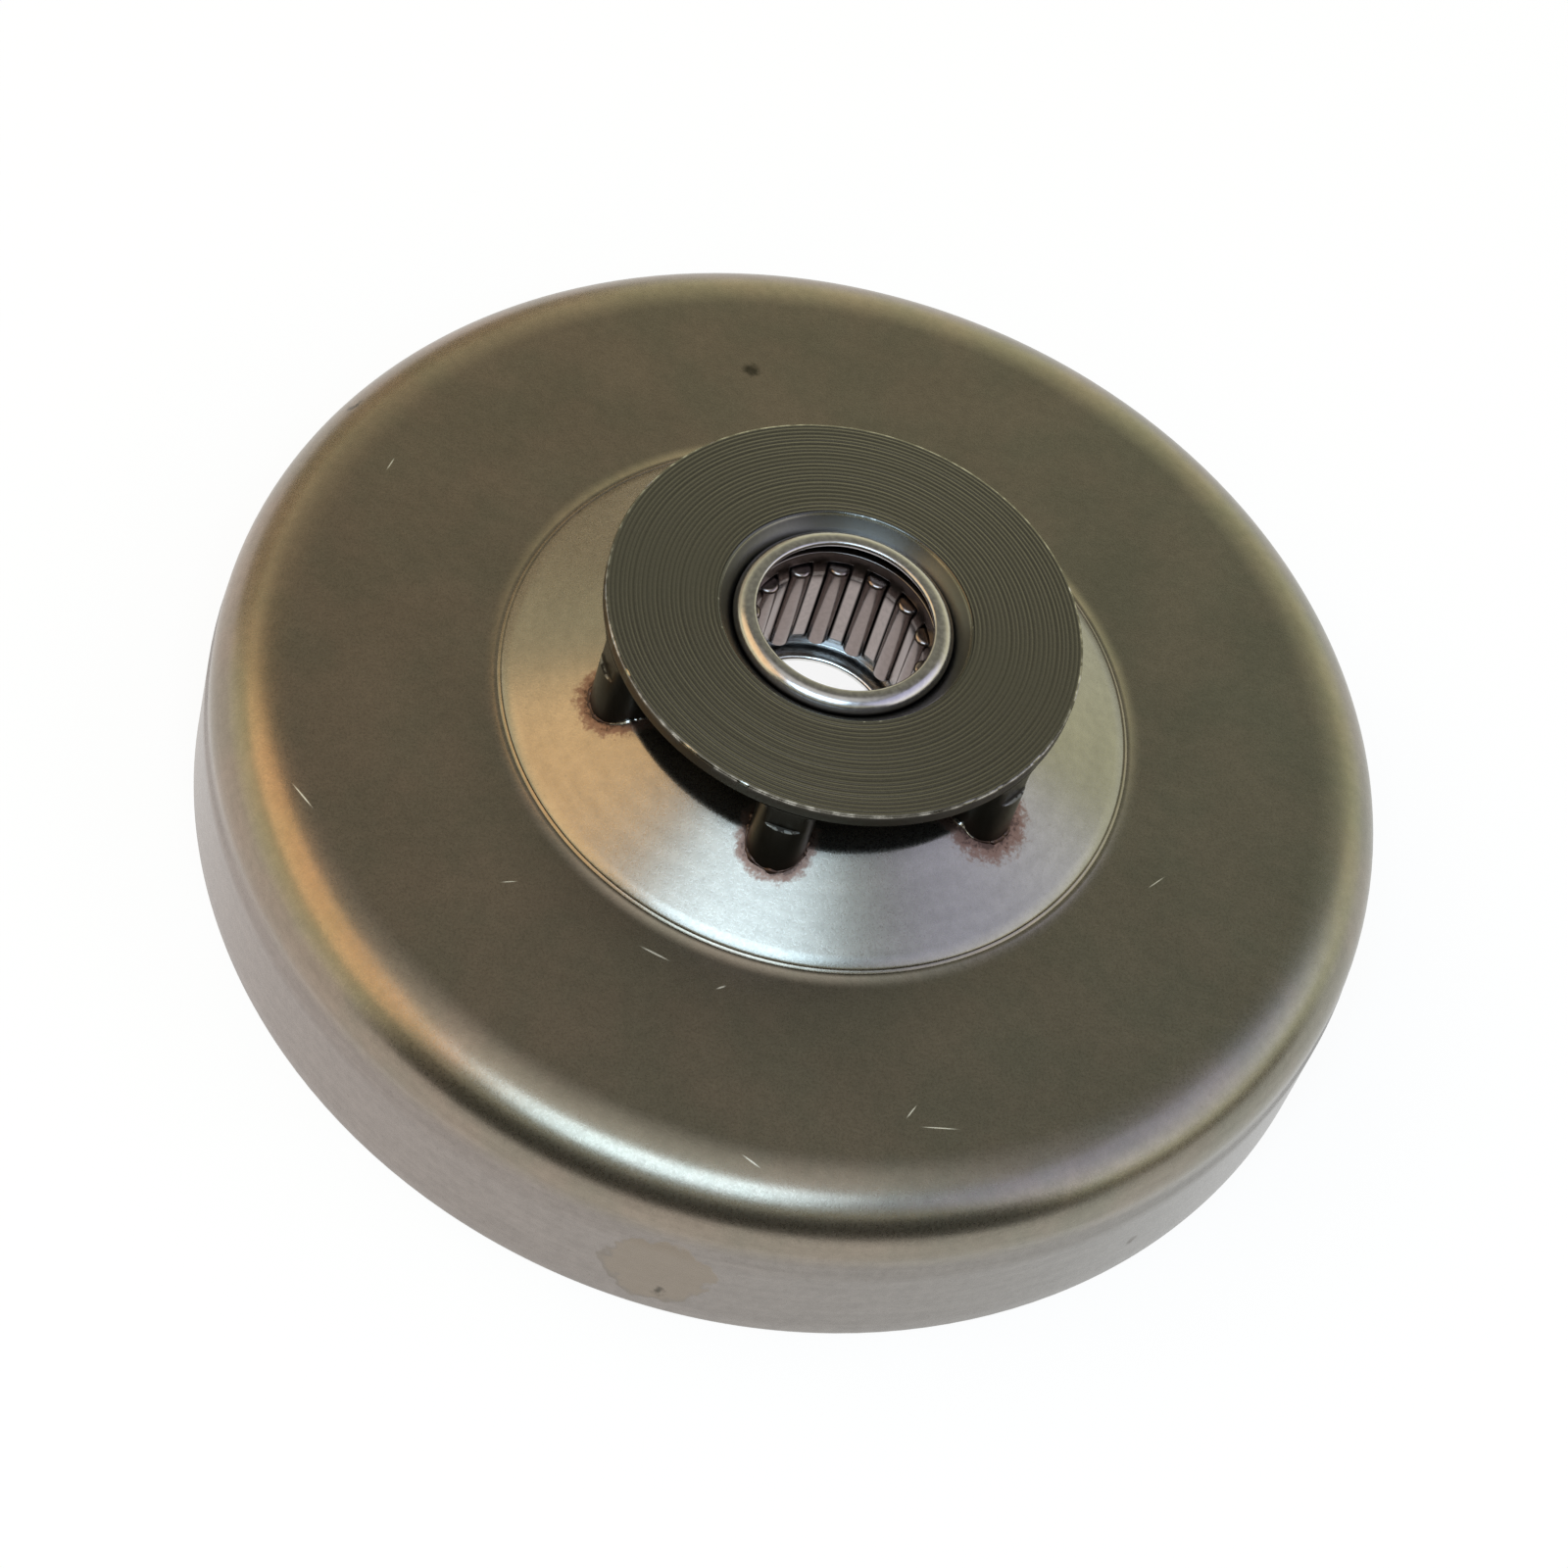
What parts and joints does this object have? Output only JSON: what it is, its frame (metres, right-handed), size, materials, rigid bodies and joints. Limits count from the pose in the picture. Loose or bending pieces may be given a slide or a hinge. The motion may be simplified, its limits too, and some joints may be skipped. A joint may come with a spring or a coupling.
{
  "type": "clutch drum sprocket",
  "caption": "Pressed steel clutch drum with a raised cone, a flanged spur sprocket for a saw chain and a caged needle bearing in its hub.",
  "frame": {"origin": "centre of the open rim's plane, on the drum's axis", "axes": "+Z along the axis from the open rim to the sprocket's flange, one tooth towards -Y"},
  "size_m": [0.076, 0.076, 0.0224],
  "materials": {
    "drum_steel": "satin brown oxide",
    "sprocket_steel": "dark turned steel",
    "cup_steel": "polished",
    "cage_steel": "satin",
    "roller_steel": "ground"
  },
  "bodies": {
    "drum_body": {"drum": "drum_steel", "sprocket": "sprocket_steel", "bearing_cup": "cup_steel"},
    "cage": {"bearing_cage": "cage_steel"},
    "roller_01": {"needle_roller_01": "roller_steel"},
    "roller_02": {"needle_roller_02": "roller_steel"},
    "roller_03": {"needle_roller_03": "roller_steel"},
    "roller_04": {"needle_roller_04": "roller_steel"},
    "roller_05": {"needle_roller_05": "roller_steel"},
    "roller_06": {"needle_roller_06": "roller_steel"},
    "roller_07": {"needle_roller_07": "roller_steel"},
    "roller_08": {"needle_roller_08": "roller_steel"},
    "roller_09": {"needle_roller_09": "roller_steel"},
    "roller_10": {"needle_roller_10": "roller_steel"},
    "roller_11": {"needle_roller_11": "roller_steel"},
    "roller_12": {"needle_roller_12": "roller_steel"},
    "roller_13": {"needle_roller_13": "roller_steel"},
    "roller_14": {"needle_roller_14": "roller_steel"}
  },
  "joints": [
    {"name": "cage_spin", "type": "hinge", "parent": "drum_body", "child": "cage", "pos_m": [0, 0, 0.0161], "axis": [0, 0, 1], "continuous": true},
    {"name": "roller_01_spin", "type": "hinge", "parent": "cage", "child": "roller_01", "pos_m": [0.00577, -0.00012, 0.0161], "axis": [0, 0, 1], "continuous": true},
    {"name": "roller_02_spin", "type": "hinge", "parent": "cage", "child": "roller_02", "pos_m": [0.00525, 0.00239, 0.0161], "axis": [0, 0, 1], "continuous": true},
    {"name": "roller_03_spin", "type": "hinge", "parent": "cage", "child": "roller_03", "pos_m": [0.00369, 0.00443, 0.0161], "axis": [0, 0, 1], "continuous": true},
    {"name": "roller_04_spin", "type": "hinge", "parent": "cage", "child": "roller_04", "pos_m": [0.0014, 0.0056, 0.0161], "axis": [0, 0, 1], "continuous": true},
    {"name": "roller_05_spin", "type": "hinge", "parent": "cage", "child": "roller_05", "pos_m": [-0.00117, 0.00565, 0.0161], "axis": [0, 0, 1], "continuous": true},
    {"name": "roller_06_spin", "type": "hinge", "parent": "cage", "child": "roller_06", "pos_m": [-0.0035, 0.00459, 0.0161], "axis": [0, 0, 1], "continuous": true},
    {"name": "roller_07_spin", "type": "hinge", "parent": "cage", "child": "roller_07", "pos_m": [-0.00515, 0.00261, 0.0161], "axis": [0, 0, 1], "continuous": true},
    {"name": "roller_08_spin", "type": "hinge", "parent": "cage", "child": "roller_08", "pos_m": [-0.00577, 0.00012, 0.0161], "axis": [0, 0, 1], "continuous": true},
    {"name": "roller_09_spin", "type": "hinge", "parent": "cage", "child": "roller_09", "pos_m": [-0.00525, -0.00239, 0.0161], "axis": [0, 0, 1], "continuous": true},
    {"name": "roller_10_spin", "type": "hinge", "parent": "cage", "child": "roller_10", "pos_m": [-0.00369, -0.00443, 0.0161], "axis": [0, 0, 1], "continuous": true},
    {"name": "roller_11_spin", "type": "hinge", "parent": "cage", "child": "roller_11", "pos_m": [-0.0014, -0.0056, 0.0161], "axis": [0, 0, 1], "continuous": true},
    {"name": "roller_12_spin", "type": "hinge", "parent": "cage", "child": "roller_12", "pos_m": [0.00117, -0.00565, 0.0161], "axis": [0, 0, 1], "continuous": true},
    {"name": "roller_13_spin", "type": "hinge", "parent": "cage", "child": "roller_13", "pos_m": [0.0035, -0.00459, 0.0161], "axis": [0, 0, 1], "continuous": true},
    {"name": "roller_14_spin", "type": "hinge", "parent": "cage", "child": "roller_14", "pos_m": [0.00515, -0.00261, 0.0161], "axis": [0, 0, 1], "continuous": true}
  ],
  "couplings": [
    {"joint": "roller_01_spin", "follows": "cage_spin", "ratio": -8.72},
    {"joint": "roller_02_spin", "follows": "cage_spin", "ratio": -8.72},
    {"joint": "roller_03_spin", "follows": "cage_spin", "ratio": -8.72},
    {"joint": "roller_04_spin", "follows": "cage_spin", "ratio": -8.72},
    {"joint": "roller_05_spin", "follows": "cage_spin", "ratio": -8.72},
    {"joint": "roller_06_spin", "follows": "cage_spin", "ratio": -8.72},
    {"joint": "roller_07_spin", "follows": "cage_spin", "ratio": -8.72},
    {"joint": "roller_08_spin", "follows": "cage_spin", "ratio": -8.72},
    {"joint": "roller_09_spin", "follows": "cage_spin", "ratio": -8.72},
    {"joint": "roller_10_spin", "follows": "cage_spin", "ratio": -8.72},
    {"joint": "roller_11_spin", "follows": "cage_spin", "ratio": -8.72},
    {"joint": "roller_12_spin", "follows": "cage_spin", "ratio": -8.72},
    {"joint": "roller_13_spin", "follows": "cage_spin", "ratio": -8.72},
    {"joint": "roller_14_spin", "follows": "cage_spin", "ratio": -8.72}
  ]
}
